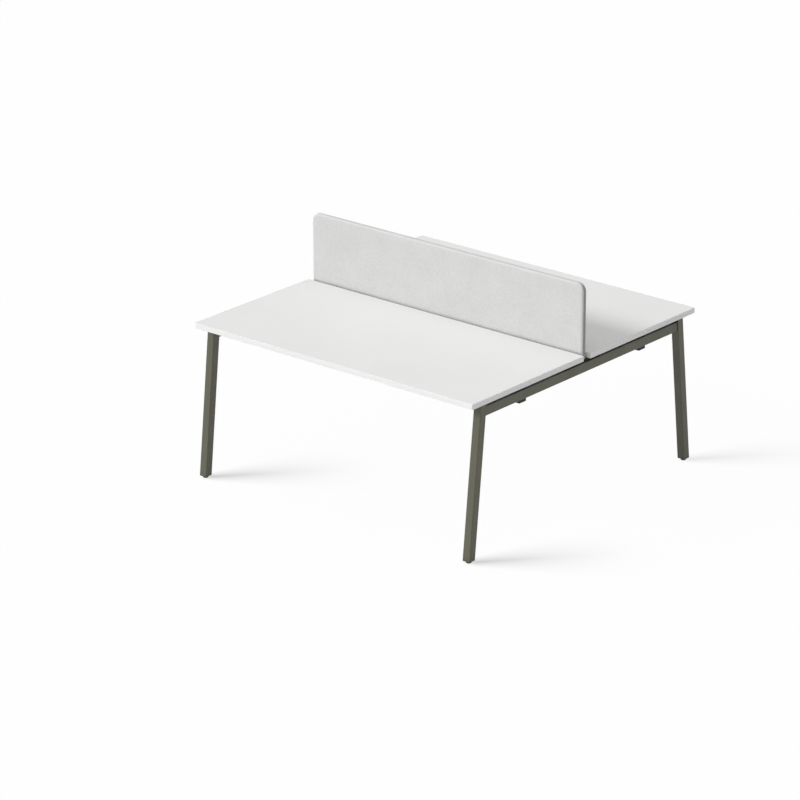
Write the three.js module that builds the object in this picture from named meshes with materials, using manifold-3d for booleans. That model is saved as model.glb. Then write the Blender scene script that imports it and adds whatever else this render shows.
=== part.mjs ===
// A benching desk for two people who sit face to face across a fabric screen.
// Two worktops stand on two end frames of leaning square tube, tied together by two long beams.
// Millimetres, +Z up, X along the worktops, Y across the pair, origin on the floor under the middle.

import * as THREE from 'three';
import { mergeVertices } from 'three/addons/utils/BufferGeometryUtils.js';
import Module from 'manifold-3d';

const wasm = await Module();
wasm.setup();

// Worktops: faced board with a glued edging strip all round
const DESK_WIDTH = 1600;
const DESK_DEPTH = 1590;
const DESK_HEIGHT = 740;
const TOP_THICKNESS = 25;
const TOP_CORNER = 4;
const EDGE_BAND = 2;

// Screen: a board in a padded fabric cover, standing in the slot between the worktops
const SCREEN_WIDTH = 1568;
const SCREEN_RISE = 325;
const SCREEN_THICKNESS = 30;
const SCREEN_CORNER = 40;
const SCREEN_SOFT_EDGE = 13;
const SCREEN_PADDING = 4;
const SCREEN_RIM_PADDING = 10;
const SCREEN_RAIL_HEIGHT = 12;
const CABLE_SLOT = 8;

// Legs: square tube that leans outwards towards the floor
const LEG_TUBE = 40;
const LEG_WALL = 2.5;
const LEG_CORNER = 4;
const LEG_END_INSET = 12;
const LEG_TOP_INSET = 73;
const LEG_FOOT_REACH = 3.5;
const LEG_CAP_FLANGE = 4;
const LEG_CAP_STUB = 16;
const LEG_PLUG_LENGTH = 42;

// Levelling feet: a threaded stem with a hexagon collar, in a round pad
const FOOT_HEIGHT = 9.5;
const PAD_RADIUS = 12;
const PAD_TOP_RADIUS = 10;
const PAD_HEIGHT = 5.5;
const PAD_RIM = 3;
const PAD_CHAMFER = 0.8;
const PAD_SOCKET_FLOOR = 2;
const STEM_RADIUS = 5;
const STEM_RISE = 35;
const COLLAR_ACROSS_FLATS = 15;
const INSERT_RADIUS = 8;
const INSERT_LENGTH = 30;

// End rails between the legs, with spacers that carry the worktops' inner corners and the screen's ends
const RAIL_WIDTH = 30;
const RAIL_HEIGHT = 45;
const RAIL_WALL = 2;
const RAIL_CORNER = 3;
const RAIL_DROP = 18;
const SPACER_WIDTH = 24;
const SPACER_LENGTH = 120;
const SPACER_CORNER = 3;

// Long beams and the brackets that hook them under the end rails
const BEAM_SPACING = 854;
const BEAM_WIDTH = 40;
const BEAM_HEIGHT = 50;
const BEAM_WALL = 2;
const BEAM_CORNER = 3;
const BRACKET_WIDTH = 46;
const BRACKET_UPRIGHT = 8;
const BRACKET_JAW = 14;
const BRACKET_JAW_SETBACK = 3;
const BRACKET_SPIGOT = 45;

// Plates under the slot that link the worktops and hold the screen
const PLATE_SPACING = 1040;
const PLATE_LENGTH = 120;
const PLATE_DEPTH = 160;
const PLATE_THICKNESS = 4;
const PLATE_CORNER = 6;
const PLATE_SCREW_SETBACK = 35;

// Fasteners
const BRACKET_BOLT = { shank: 4, head: 6.5, headHeight: 5, reach: 26 };
const SCREEN_BOLT = { shank: 4, head: 7, headHeight: 4.5, bite: 9 };
const PLATE_SCREW = { shank: 2.5, head: 5, headHeight: 3, bite: 14 };
const BEAM_SCREW = { shank: 3, head: 6, headHeight: 3.5, bite: 14 };
const BEAM_SCREW_SPACING = 900;

// Clearances
const FIT_GAP = 0.3;
const SEAT_GAP = 0.1;

// Facets
const CORNER_STEPS = 2;
const ROUND_STEPS = 6;
const PAD_SIDES = 32;
const SOFT_EDGE_STEPS = 4;
const SCREW_SIDES = 16;

// Levels and places that follow from the sizes above
const TOP_UNDERSIDE = DESK_HEIGHT - TOP_THICKNESS;
const TOP_GAP = SCREEN_THICKNESS + 2 * CABLE_SLOT;
const TOP_DEPTH = (DESK_DEPTH - TOP_GAP) / 2;
const TOP_CENTRE_Y = (TOP_GAP + TOP_DEPTH) / 2;
const SCREEN_TOP = DESK_HEIGHT + SCREEN_RISE;
const LEG_X = DESK_WIDTH / 2 - LEG_END_INSET - LEG_TUBE / 2;
const LEAN = (LEG_TOP_INSET + LEG_FOOT_REACH) / TOP_UNDERSIDE;
const LEAN_STRETCH = Math.sqrt(1 + LEAN * LEAN);
const LEG_SPAN = LEG_TUBE * LEAN_STRETCH;
const LEG_TOP = TOP_UNDERSIDE - SEAT_GAP - LEG_CAP_FLANGE;
const RAIL_TOP = TOP_UNDERSIDE - RAIL_DROP;
const RAIL_BOTTOM = RAIL_TOP - RAIL_HEIGHT;
const BEAM_TOP = TOP_UNDERSIDE - SEAT_GAP;
const BEAM_BOTTOM = BEAM_TOP - BEAM_HEIGHT;
const BEAM_Y = BEAM_SPACING / 2;
const RAIL_INNER_X = LEG_X - RAIL_WIDTH / 2;
const RAIL_OUTER_X = LEG_X + RAIL_WIDTH / 2;
const BEAM_END_X = RAIL_INNER_X - FIT_GAP - BRACKET_UPRIGHT;
const PLATE_TOP = TOP_UNDERSIDE - SEAT_GAP;
const PLATE_BOTTOM = PLATE_TOP - PLATE_THICKNESS;
const PLATE_SCREW_Y = TOP_GAP / 2 + PLATE_SCREW_SETBACK;
const SPACER_Y = (SPACER_LENGTH + FIT_GAP) / 2;

// The middle of a leg's level section at height z, on the +Y side
const legCentreY = (z) => DESK_DEPTH / 2 + LEG_FOOT_REACH - LEG_SPAN / 2 - LEAN * z;
const FOOT_Y = legCentreY(FOOT_HEIGHT);

// Axis changes: a shape drawn flat and extruded along +Z is turned to run along X or Y
const X_AXIS = new THREE.Vector3(1, 0, 0);
const Y_AXIS = new THREE.Vector3(0, 1, 0);
const Z_AXIS = new THREE.Vector3(0, 0, 1);
const ALONG_X = new THREE.Matrix4().makeBasis(Y_AXIS, Z_AXIS, X_AXIS);
const ALONG_Y = new THREE.Matrix4().makeBasis(X_AXIS, Z_AXIS, Y_AXIS.clone().negate());
const LEANING = new THREE.Matrix4().makeShear(0, 0, 0, 0, 0, -LEAN);

const FINISH = {
  laminate: { color: 0xe6e6e4, roughness: 0.55, metalness: 0 },
  edging: { color: 0xe2e2e0, roughness: 0.5, metalness: 0 },
  framePaint: { color: 0x6a6a5d, roughness: 0.5, metalness: 0.1 },
  blackPaint: { color: 0x1c1c1c, roughness: 0.6, metalness: 0.1 },
  blackPlastic: { color: 0x202020, roughness: 0.7, metalness: 0 },
  zincSteel: { color: 0xa8a9a6, roughness: 0.35, metalness: 1 },
  aluminium: { color: 0xb9bab9, roughness: 0.4, metalness: 1 },
  board: { color: 0xb79f7d, roughness: 0.8, metalness: 0 },
  fabric: { color: 0xd3d4d3, roughness: 0.95, metalness: 0 },
};

const desk = new THREE.Group();

function addPiece(name, geometry, finish, group = desk) {
  const mesh = new THREE.Mesh(geometry, new THREE.MeshStandardMaterial(finish));
  mesh.name = name;
  group.add(mesh);
}

// A group on the +Y side turns half round to stand on the -Y side, and likewise for the two ends
function turnedGroup(halfTurn) {
  const group = new THREE.Group();
  group.rotation.z = halfTurn ? Math.PI : 0;
  desk.add(group);
  return group;
}

// Solids for joining and cutting
function solidOf(geometry) {
  const bare = geometry.clone();
  bare.deleteAttribute('normal');
  bare.deleteAttribute('uv');
  const merged = mergeVertices(bare);
  return new wasm.Manifold(new wasm.Mesh({
    numProp: 3,
    vertProperties: new Float32Array(merged.attributes.position.array),
    triVerts: new Uint32Array(merged.index.array),
  }));
}

function geometryOf(solid) {
  const mesh = solid.getMesh();
  const geometry = new THREE.BufferGeometry();
  geometry.setAttribute('position', new THREE.BufferAttribute(new Float32Array(mesh.vertProperties), 3));
  geometry.setIndex(new THREE.BufferAttribute(new Uint32Array(mesh.triVerts), 1));
  geometry.computeVertexNormals();
  return geometry;
}

function joined(...geometries) {
  return geometryOf(geometries.map(solidOf).reduce((sum, solid) => sum.add(solid)));
}

function cutBy(geometry, ...cutters) {
  return geometryOf(cutters.map(solidOf).reduce((rest, cutter) => rest.subtract(cutter), solidOf(geometry)));
}

// Flat outlines
function roundedRectangle(width, height, radius, path = new THREE.Shape()) {
  const x = width / 2 - radius;
  const y = height / 2 - radius;
  path.absarc(x, y, radius, 0, Math.PI / 2);
  path.absarc(-x, y, radius, Math.PI / 2, Math.PI);
  path.absarc(-x, -y, radius, Math.PI, 1.5 * Math.PI);
  path.absarc(x, -y, radius, 1.5 * Math.PI, 2 * Math.PI);
  return path;
}

function frameOutline(width, height, radius, wallX, wallY) {
  const outline = roundedRectangle(width, height, radius);
  const inner = Math.max(radius - wallX, SEAT_GAP);
  outline.holes.push(roundedRectangle(width - 2 * wallX, height - 2 * wallY, inner, new THREE.Path()));
  return outline;
}

// An upright panel seen from the front: round top corners and a straight foot
function screenOutline(halfWidth, bottom, top, radius) {
  const outline = new THREE.Shape();
  outline.moveTo(-halfWidth, bottom);
  outline.lineTo(halfWidth, bottom);
  outline.absarc(halfWidth - radius, top - radius, radius, 0, Math.PI / 2);
  outline.absarc(-halfWidth + radius, top - radius, radius, Math.PI / 2, Math.PI);
  outline.closePath();
  return outline;
}

// Extrusions
function extruded(outline, depth, curveSegments = CORNER_STEPS) {
  return new THREE.ExtrudeGeometry(outline, { depth, curveSegments, bevelEnabled: false });
}

function upright(outline, low, high) {
  return extruded(outline, high - low).translate(0, 0, low);
}

function centredRun(outline, length, axisChange, curveSegments) {
  return extruded(outline, length, curveSegments).translate(0, 0, -length / 2).applyMatrix4(axisChange);
}

// A column whose level section follows the lean of a leg on the +Y side
function leaning(outline, low, high) {
  return upright(outline, low, high).applyMatrix4(LEANING).translate(0, legCentreY(0), 0);
}

function block(low, high) {
  const size = high.map((value, axis) => value - low[axis]);
  const centre = high.map((value, axis) => (value + low[axis]) / 2);
  return new THREE.BoxGeometry(...size).translate(...centre);
}

function rod(radius, low, high, x = 0, y = 0, sides = SCREW_SIDES) {
  const cylinder = new THREE.CylinderGeometry(radius, radius, high - low, sides);
  return cylinder.rotateX(Math.PI / 2).translate(x, y, (low + high) / 2);
}

// A screw driven upwards: the head hangs under seat, and the shank ends at tip
function screw(kind, seat, tip, x, y) {
  const headTop = seat - SEAT_GAP;
  const head = rod(kind.head, headTop - kind.headHeight, headTop, x, y);
  return joined(head, rod(kind.shank, headTop - kind.headHeight / 2, tip, x, y));
}

function screwHole(kind, low, high, x, y) {
  return rod(kind.shank + FIT_GAP, low, high, x, y);
}

// Worktops
const boardWidth = DESK_WIDTH - 2 * EDGE_BAND - 2 * SEAT_GAP;
const boardDepth = TOP_DEPTH - 2 * EDGE_BAND - 2 * SEAT_GAP;
const plateScrewTip = TOP_UNDERSIDE + PLATE_SCREW.bite;
const beamScrewTip = TOP_UNDERSIDE + BEAM_SCREW.bite;

function worktopBoard() {
  const corner = TOP_CORNER - EDGE_BAND;
  const outline = roundedRectangle(boardWidth, boardDepth, corner);
  const board = upright(outline, TOP_UNDERSIDE, DESK_HEIGHT).translate(0, TOP_CENTRE_Y, 0);
  const pilotHoles = [-1, 1].flatMap((end) => [
    screwHole(PLATE_SCREW, 0, plateScrewTip + FIT_GAP, end * PLATE_SPACING / 2, PLATE_SCREW_Y),
    screwHole(BEAM_SCREW, 0, beamScrewTip + FIT_GAP, end * BEAM_SCREW_SPACING / 2, BEAM_Y),
  ]);
  return cutBy(board, ...pilotHoles);
}

function worktopEdging() {
  const outline = frameOutline(DESK_WIDTH, TOP_DEPTH, TOP_CORNER, EDGE_BAND, EDGE_BAND);
  return upright(outline, TOP_UNDERSIDE, DESK_HEIGHT).translate(0, TOP_CENTRE_Y, 0);
}

// Screen
const coreHalfWidth = SCREEN_WIDTH / 2 - SCREEN_RIM_PADDING;
const coreThickness = SCREEN_THICKNESS - 2 * SCREEN_PADDING;
const coreBottom = TOP_UNDERSIDE + SCREEN_RAIL_HEIGHT + SEAT_GAP;
const coreTop = SCREEN_TOP - SCREEN_RIM_PADDING;
const coreCorner = SCREEN_CORNER - SCREEN_RIM_PADDING;
const rimRadius = Math.min(SCREEN_SOFT_EDGE, SCREEN_THICKNESS / 2 - FIT_GAP);

function screenCore() {
  const outline = screenOutline(coreHalfWidth, coreBottom, coreTop, coreCorner);
  return centredRun(outline, coreThickness, ALONG_Y, ROUND_STEPS);
}

function screenCover() {
  const hem = TOP_UNDERSIDE - 2 * rimRadius;
  const outside = new THREE.ExtrudeGeometry(screenOutline(SCREEN_WIDTH / 2, hem, SCREEN_TOP, SCREEN_CORNER), {
    depth: SCREEN_THICKNESS - 2 * rimRadius,
    bevelThickness: rimRadius,
    bevelSize: rimRadius,
    bevelOffset: -rimRadius,
    bevelSegments: SOFT_EDGE_STEPS,
    curveSegments: ROUND_STEPS,
  });
  outside.translate(0, 0, rimRadius - SCREEN_THICKNESS / 2).applyMatrix4(ALONG_Y);
  const room = screenOutline(coreHalfWidth + FIT_GAP, 0, coreTop + FIT_GAP, coreCorner + FIT_GAP);
  const pocket = centredRun(room, coreThickness + 2 * FIT_GAP, ALONG_Y, ROUND_STEPS);
  const wellBelow = [-SCREEN_WIDTH, -SCREEN_THICKNESS, 0];
  const belowHem = block(wellBelow, [SCREEN_WIDTH, SCREEN_THICKNESS, TOP_UNDERSIDE]);
  return cutBy(outside, pocket, belowHem);
}

const screenBoltTip = TOP_UNDERSIDE + SCREEN_BOLT.bite;

function screenRail() {
  const low = [-coreHalfWidth + coreCorner, -coreThickness / 2, TOP_UNDERSIDE];
  const high = [coreHalfWidth - coreCorner, coreThickness / 2, TOP_UNDERSIDE + SCREEN_RAIL_HEIGHT];
  const holes = [-1, 1].map((end) => screwHole(
    SCREEN_BOLT, 0, screenBoltTip + FIT_GAP, end * PLATE_SPACING / 2, 0));
  return cutBy(block(low, high), ...holes);
}

// Legs and what closes their ends
const legBoreX = LEG_TUBE - 2 * LEG_WALL;
const legBoreY = LEG_SPAN - 2 * LEG_WALL * LEAN_STRETCH;

function legFilling(low, high) {
  const corner = LEG_CORNER - LEG_WALL;
  const outline = roundedRectangle(legBoreX - 2 * FIT_GAP, legBoreY - 2 * FIT_GAP, corner);
  return leaning(outline, low, high);
}

function legTube() {
  const outline = frameOutline(LEG_TUBE, LEG_SPAN, LEG_CORNER, LEG_WALL, LEG_WALL * LEAN_STRETCH);
  return leaning(outline, FOOT_HEIGHT, LEG_TOP - SEAT_GAP);
}

function legCap() {
  const flange = roundedRectangle(LEG_TUBE, LEG_SPAN, LEG_CORNER);
  const plate = leaning(flange, LEG_TOP, LEG_TOP + LEG_CAP_FLANGE);
  return joined(plate, legFilling(LEG_TOP - LEG_CAP_STUB, LEG_TOP + LEG_CAP_FLANGE / 2));
}

function legPlug() {
  const filling = legFilling(FOOT_HEIGHT, FOOT_HEIGHT + LEG_PLUG_LENGTH);
  return cutBy(filling, rod(INSERT_RADIUS + FIT_GAP, 0, FOOT_HEIGHT + 2 * LEG_PLUG_LENGTH, 0, FOOT_Y));
}

// Levelling feet
function threadedInsert() {
  const sleeve = rod(INSERT_RADIUS, FOOT_HEIGHT, FOOT_HEIGHT + INSERT_LENGTH, 0, FOOT_Y);
  const bore = rod(STEM_RADIUS + FIT_GAP, 0, FOOT_HEIGHT + 2 * INSERT_LENGTH, 0, FOOT_Y);
  return cutBy(sleeve, bore);
}

function footStem() {
  const collarRadius = COLLAR_ACROSS_FLATS / Math.sqrt(3);
  const collar = rod(collarRadius, PAD_HEIGHT + FIT_GAP, FOOT_HEIGHT - FIT_GAP, 0, FOOT_Y, 6);
  const stem = rod(STEM_RADIUS, PAD_SOCKET_FLOOR + FIT_GAP, FOOT_HEIGHT + STEM_RISE, 0, FOOT_Y);
  return joined(collar, stem);
}

function footPad() {
  const profile = [
    [0, 0],
    [PAD_RADIUS - PAD_CHAMFER, 0],
    [PAD_RADIUS, PAD_CHAMFER],
    [PAD_RADIUS, PAD_RIM],
    [PAD_TOP_RADIUS, PAD_HEIGHT],
    [STEM_RADIUS + FIT_GAP, PAD_HEIGHT],
    [STEM_RADIUS + FIT_GAP, PAD_SOCKET_FLOOR],
    [0, PAD_SOCKET_FLOOR],
  ];
  const pad = new THREE.LatheGeometry(profile.map(([r, z]) => new THREE.Vector2(r, z)), PAD_SIDES);
  return pad.rotateX(Math.PI / 2).translate(0, FOOT_Y, 0);
}

// End rails
function endRail() {
  const outline = frameOutline(RAIL_WIDTH, RAIL_HEIGHT, RAIL_CORNER, RAIL_WALL, RAIL_WALL);
  const tube = centredRun(outline, DESK_DEPTH, ALONG_Y).translate(0, 0, RAIL_BOTTOM + RAIL_HEIGHT / 2);
  const reach = (z) => legCentreY(z) - LEG_SPAN / 2 - FIT_GAP;
  const side = new THREE.Shape([
    new THREE.Vector2(-reach(0), 0),
    new THREE.Vector2(reach(0), 0),
    new THREE.Vector2(reach(DESK_HEIGHT), DESK_HEIGHT),
    new THREE.Vector2(-reach(DESK_HEIGHT), DESK_HEIGHT),
  ]);
  const betweenLegs = solidOf(centredRun(side, 2 * RAIL_WIDTH, ALONG_X));
  const holes = [-1, 1].map((side) => screwHole(
    BRACKET_BOLT, 0, RAIL_BOTTOM + RAIL_HEIGHT / 2, 0, side * BEAM_Y));
  return cutBy(geometryOf(solidOf(tube).intersect(betweenLegs)), ...holes);
}

function railSpacer() {
  const outline = roundedRectangle(SPACER_WIDTH, SPACER_LENGTH, SPACER_CORNER);
  return upright(outline, RAIL_TOP + SEAT_GAP, TOP_UNDERSIDE - SEAT_GAP);
}

// Beams and their brackets, the brackets drawn for the +X end
function beam() {
  const outline = frameOutline(BEAM_WIDTH, BEAM_HEIGHT, BEAM_CORNER, BEAM_WALL, BEAM_WALL);
  const length = 2 * (BEAM_END_X - FIT_GAP);
  const tube = centredRun(outline, length, ALONG_X).translate(0, 0, BEAM_BOTTOM + BEAM_HEIGHT / 2);
  const holes = [-1, 1].map((end) => screwHole(
    BEAM_SCREW, 0, DESK_HEIGHT, end * BEAM_SCREW_SPACING / 2, 0));
  return cutBy(tube, ...holes);
}

const jawTop = RAIL_BOTTOM - SEAT_GAP;
const jawBottom = jawTop - BRACKET_JAW;
const bracketBoltSeat = jawBottom + BRACKET_BOLT.headHeight + 2 * SEAT_GAP;

function beamBracket() {
  const jawEnd = RAIL_OUTER_X - BRACKET_JAW_SETBACK;
  const uprightFace = RAIL_INNER_X - FIT_GAP;
  const side = new THREE.Shape([
    new THREE.Vector2(BEAM_END_X, jawBottom),
    new THREE.Vector2(jawEnd, jawBottom),
    new THREE.Vector2(jawEnd, jawTop),
    new THREE.Vector2(uprightFace, jawTop),
    new THREE.Vector2(uprightFace, BEAM_TOP),
    new THREE.Vector2(BEAM_END_X, BEAM_TOP),
  ]);
  const hook = centredRun(side, BRACKET_WIDTH, ALONG_Y);
  const spigotHalf = BEAM_WIDTH / 2 - BEAM_WALL - FIT_GAP;
  const spigotCorner = Math.max(BEAM_CORNER - BEAM_WALL, SEAT_GAP);
  const spigotHeight = BEAM_HEIGHT - 2 * (BEAM_WALL + FIT_GAP);
  const spigotLength = BRACKET_SPIGOT + BRACKET_UPRIGHT / 2;
  const spigotOutline = roundedRectangle(2 * spigotHalf, spigotHeight, spigotCorner);
  const spigot = centredRun(spigotOutline, spigotLength, ALONG_X);
  spigot.translate(BEAM_END_X - BRACKET_SPIGOT + spigotLength / 2, 0, BEAM_BOTTOM + BEAM_HEIGHT / 2);
  const hole = screwHole(BRACKET_BOLT, 0, RAIL_BOTTOM, LEG_X, 0);
  const recess = rod(BRACKET_BOLT.head + FIT_GAP, 0, bracketBoltSeat, LEG_X, 0);
  return cutBy(joined(hook, spigot), hole, recess);
}

function bracketBolt() {
  return screw(BRACKET_BOLT, bracketBoltSeat, jawBottom + BRACKET_BOLT.reach, LEG_X, 0);
}

// Link plates under the slot
function linkPlate() {
  const outline = roundedRectangle(PLATE_LENGTH, PLATE_DEPTH, PLATE_CORNER);
  return cutBy(
    upright(outline, PLATE_BOTTOM, PLATE_TOP),
    screwHole(SCREEN_BOLT, 0, DESK_HEIGHT, 0, 0),
    screwHole(PLATE_SCREW, 0, DESK_HEIGHT, 0, PLATE_SCREW_Y),
    screwHole(PLATE_SCREW, 0, DESK_HEIGHT, 0, -PLATE_SCREW_Y),
  );
}

// Assembly: the two sides
const SIDES = [['front', -1], ['back', 1]];
const ENDS = [['left', -1], ['right', 1]];

for (const [side, sign] of SIDES) {
  const group = turnedGroup(sign < 0);
  addPiece(`${side}_worktop`, worktopBoard(), FINISH.laminate, group);
  addPiece(`${side}_worktop_edging`, worktopEdging(), FINISH.edging, group);
  addPiece(`${side}_beam`, beam().translate(0, BEAM_Y, 0), FINISH.blackPaint, group);
}

// The two ends
for (const [end, sign] of ENDS) {
  addPiece(`${end}_end_rail`, endRail().translate(sign * LEG_X, 0, 0), FINISH.framePaint);
  const plateX = sign * PLATE_SPACING / 2;
  addPiece(`${end}_link_plate`, linkPlate().translate(plateX, 0, 0), FINISH.blackPaint);
  const screenBolt = screw(SCREEN_BOLT, PLATE_BOTTOM, screenBoltTip, plateX, 0);
  addPiece(`${end}_screen_bolt`, screenBolt, FINISH.zincSteel);
}

// The four corners
for (const [side, sideSign] of SIDES) {
  for (const [end, endSign] of ENDS) {
    const corner = `${side}_${end}`;
    const x = endSign * LEG_X;

    const legGroup = turnedGroup(sideSign < 0);
    legGroup.position.x = x;
    addPiece(`${corner}_leg`, legTube(), FINISH.framePaint, legGroup);
    addPiece(`${corner}_leg_cap`, legCap(), FINISH.blackPlastic, legGroup);
    addPiece(`${corner}_leg_plug`, legPlug(), FINISH.blackPlastic, legGroup);
    addPiece(`${corner}_threaded_insert`, threadedInsert(), FINISH.zincSteel, legGroup);
    addPiece(`${corner}_foot_stem`, footStem(), FINISH.blackPaint, legGroup);
    addPiece(`${corner}_foot_pad`, footPad(), FINISH.blackPlastic, legGroup);

    const spacer = railSpacer().translate(x, sideSign * SPACER_Y, 0);
    addPiece(`${corner}_rail_spacer`, spacer, FINISH.blackPlastic);

    const bracketGroup = turnedGroup(endSign < 0);
    bracketGroup.position.y = sideSign * BEAM_Y;
    addPiece(`${corner}_beam_bracket`, beamBracket(), FINISH.blackPaint, bracketGroup);
    addPiece(`${corner}_bracket_bolt`, bracketBolt(), FINISH.zincSteel, bracketGroup);

    const beamScrewX = endSign * BEAM_SCREW_SPACING / 2;
    const beamScrew = screw(BEAM_SCREW, BEAM_BOTTOM, beamScrewTip, beamScrewX, sideSign * BEAM_Y);
    addPiece(`${corner}_beam_screw`, beamScrew, FINISH.zincSteel);

    const plateScrewX = endSign * PLATE_SPACING / 2;
    const plateScrew = screw(PLATE_SCREW, PLATE_BOTTOM, plateScrewTip, plateScrewX, sideSign * PLATE_SCREW_Y);
    addPiece(`${corner}_plate_screw`, plateScrew, FINISH.zincSteel);
  }
}

// Screen
addPiece('screen_core', screenCore(), FINISH.board);
addPiece('screen_bottom_rail', screenRail(), FINISH.aluminium);
addPiece('screen_cover', screenCover(), FINISH.fabric);

export default desk;
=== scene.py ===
import math

import bmesh
import bpy
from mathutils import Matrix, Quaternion, Vector


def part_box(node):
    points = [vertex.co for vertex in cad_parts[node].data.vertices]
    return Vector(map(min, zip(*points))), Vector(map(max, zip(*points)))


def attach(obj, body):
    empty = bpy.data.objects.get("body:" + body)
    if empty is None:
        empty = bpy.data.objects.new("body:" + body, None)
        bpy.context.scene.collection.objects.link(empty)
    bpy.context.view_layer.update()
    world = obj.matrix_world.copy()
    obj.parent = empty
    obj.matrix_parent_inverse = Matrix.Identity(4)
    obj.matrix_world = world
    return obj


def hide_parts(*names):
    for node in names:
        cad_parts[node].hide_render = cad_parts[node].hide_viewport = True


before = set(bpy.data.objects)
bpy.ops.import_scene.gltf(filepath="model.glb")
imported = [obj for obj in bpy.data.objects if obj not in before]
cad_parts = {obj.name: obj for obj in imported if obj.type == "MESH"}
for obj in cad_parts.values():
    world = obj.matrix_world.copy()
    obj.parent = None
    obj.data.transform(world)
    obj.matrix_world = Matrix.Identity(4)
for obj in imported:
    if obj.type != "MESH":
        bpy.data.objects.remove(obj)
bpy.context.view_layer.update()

# Sizes are in metres, and most are written in millimetres
MM = 0.001

# The view: a long lens, high on the right of the front side
VIEW_AZIMUTH = math.radians(40.1164)
VIEW_ELEVATION = math.radians(20.9455)
VIEW_ROLL = math.radians(-0.1482)
VIEW_TARGET = Vector((-45.49 * MM, -268.07 * MM, 400 * MM))
VIEW_DISTANCE = 18.23726
VIEW_END = 10 * VIEW_DISTANCE
VIEW_LENS = 183.254
VIEW_SENSOR = 36

# The light: one soft key from the front left and a pale surround, brighter overhead and on the right
KEY_TRAVEL = Vector((0.66, 0.75, 0))
KEY_ELEVATION = math.radians(31)
KEY_STRENGTH = 2.25
KEY_SPREAD = math.radians(15)
SURROUND_ALL_ROUND = 0.15
SURROUND_RIGHT = 0.16
SURROUND_OVERHEAD = 1.36
SURROUND_FALL = 4

# The floor, and the streak of shade that each foot throws on it
FLOOR_REACH = 120
FLOOR_WHITENESS = 0.97
FLOOR_TONE = 0.7
SHADE_LENGTH = 900 * MM
SHADE_WIDTH = 50 * MM
SHADE_SPREAD = 0.45
SHADE_DEPTH = {"front": 0.42, "back": 0.22}
SHADE_SIDE_FALL = 1.5
SHADE_END_FALL = 2

# Worktops
BOARD_CORNER = 2 * MM
BOARD_ARRIS = 0.2 * MM
EDGING_CORNER = 4 * MM
EDGING_ARRIS = 1.2 * MM
EDGING_THICKNESS = 2 * MM

# Screen: its rounding, walls and edge tape, and the inset and rise of each step of its soft shoulder
SCREEN_CORNER = 40 * MM
SCREEN_RIM = 13 * MM
SCREEN_WALL = 3.7 * MM
SCREEN_TOP_PADDING = 9.7 * MM
SHOULDER_STEPS = [(5 * MM, 0.3 * MM), (8 * MM, 0.25 * MM), (10 * MM, 0.15 * MM)]
EDGE_TAPE = 17 * MM
EDGE_TAPE_SEAM = 0.6 * MM
EDGE_TAPE_SUNK = 0.4 * MM

# Tubes: corner radius and wall
LEG_CORNER = 4 * MM
LEG_WALL = 2.5 * MM
RAIL_CORNER = 3 * MM
RAIL_WALL = 2 * MM
BEAM_CORNER = 3 * MM
BEAM_WALL = 2 * MM
TUBE_ARRIS = 0.35 * MM

# Fittings
FIT_GAP = 0.3 * MM
SEAT_GAP = 0.1 * MM
BRACKET_ARRIS = 1.2 * MM
PLATE_CORNER = 6 * MM
PLATE_ARRIS = 0.5 * MM
CAP_FLANGE = 4 * MM
CAP_ARRIS = 0.5 * MM
SPACER_CORNER = 3 * MM
SPACER_BORDER = 3 * MM
SPACER_RECESS = 2.5 * MM
SPACER_ARRIS = 0.4 * MM

# Fasteners: head height, shank radius, and the radius and sides of the key's socket
BRACKET_BOLT = {"head": 5 * MM, "shank": 4 * MM, "socket": 3 * MM, "key_sides": 6}
SCREEN_BOLT = {"head": 4.5 * MM, "shank": 4 * MM, "socket": 3 * MM, "key_sides": 6}
PLATE_SCREW = {"head": 3 * MM, "shank": 2.5 * MM, "socket": 2.3 * MM, "key_sides": 4}
BEAM_SCREW = {"head": 3.5 * MM, "shank": 3 * MM, "socket": 2.6 * MM, "key_sides": 4}
HEAD_ARRIS = 0.7 * MM
DRILL_PAST = 1 * MM

# Shares: the socket's depth of the head's height, and the tip's length and end of the shank's radius
SOCKET_DEPTH = 0.55
TIP_LENGTH = 0.5
TIP_END = 0.5

# Levelling feet: the stem's root is a share of its radius
PAD_RIM = 3 * MM
PAD_TOP_RADIUS = 10 * MM
PAD_ARRIS = 0.8 * MM
PAD_SHOULDER_ARRIS = 0.4 * MM
PAD_SOCKET_FLOOR = 2 * MM
STEM_RADIUS = 5 * MM
STEM_ROOT = 0.87
THREAD_PITCH = 1.5 * MM
COLLAR_ARRIS = 0.5 * MM
COLLAR_SIDES = 6

# How finely round things are cut
CORNER_STEPS = 5
ARRIS_STEPS = 3
RIM_STEPS = 8
SCREEN_CORNER_STEPS = 12
POCKET_STEPS = 4
ROUND_SIDES = 48
SCREW_SIDES = 32
SMOOTH_ANGLE = math.radians(35)

# What counts as the same place, and the desk's own directions
NEAR = 0.01 * MM
ALONG = Vector((1, 0, 0))
ACROSS = Vector((0, 1, 0))
UP = Vector((0, 0, 1))

# How closely a direction agrees with an axis that it runs along, or with one that it faces squarely
ROUGHLY = 0.9
SQUARELY = 0.9999

# The sign of Y on each side of the desk, and of X at each end
SIDES = {"front": -1, "back": 1}
ENDS = {"left": -1, "right": 1}
CORNERS = [(side, end) for side in SIDES for end in ENDS]


# Modelling by hand, in words

def alone(piece):
    """Leaves edit mode and selects one piece and nothing else."""
    if bpy.context.mode != "OBJECT":
        bpy.ops.object.mode_set(mode="OBJECT")
    bpy.ops.object.select_all(action="DESELECT")
    piece.select_set(True)
    bpy.context.view_layer.objects.active = piece


def settle(piece):
    """Puts a piece's place, turn and size into its mesh."""
    alone(piece)
    bpy.ops.object.transform_apply(location=True, rotation=True, scale=True)
    return piece


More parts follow.
